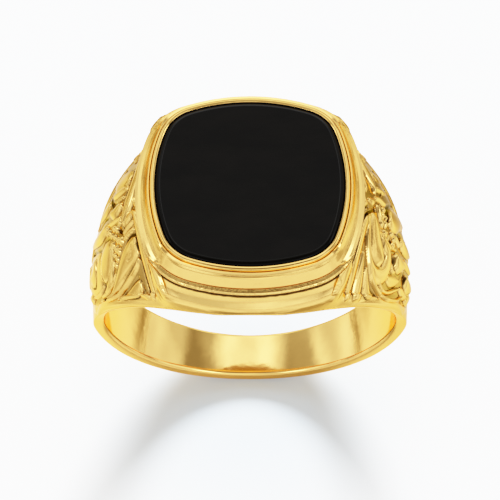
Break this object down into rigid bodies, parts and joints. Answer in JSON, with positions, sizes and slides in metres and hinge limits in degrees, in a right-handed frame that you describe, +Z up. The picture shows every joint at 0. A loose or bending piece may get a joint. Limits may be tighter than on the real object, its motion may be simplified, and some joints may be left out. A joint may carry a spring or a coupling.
{
  "type": "signet ring",
  "caption": "Signet ring with a square cushion-shaped black stone in a stepped bezel and leaf-and-scroll shoulders on a flared hoop.",
  "frame": {"origin": "centre of the finger hole, half way across the ring", "axes": "+Y along the finger hole, away from the camera's side; +Z up through the middle of the stone; +X to the right"},
  "size_m": [0.0214, 0.0162, 0.023],
  "materials": {
    "band_gold": "mirror polished yellow gold",
    "shoulder_gold": "polished yellow gold",
    "relief_gold": "polished yellow gold relief",
    "head_gold": "polished yellow gold",
    "lip_gold": "burnished yellow gold",
    "cement": "matt setting cement",
    "onyx": "polished black onyx"
  },
  "bodies": {
    "root": {"shank": "band_gold", "shoulder_left": "shoulder_gold", "shoulder_right": "shoulder_gold", "scrollwork_left": "relief_gold", "scrollwork_right": "relief_gold", "plinth": "head_gold", "collar": "head_gold", "bezel": "head_gold", "bezel_lip": "lip_gold", "bearing": "head_gold", "stone_bed": "cement", "stone": "onyx"}
  },
  "joints": []
}
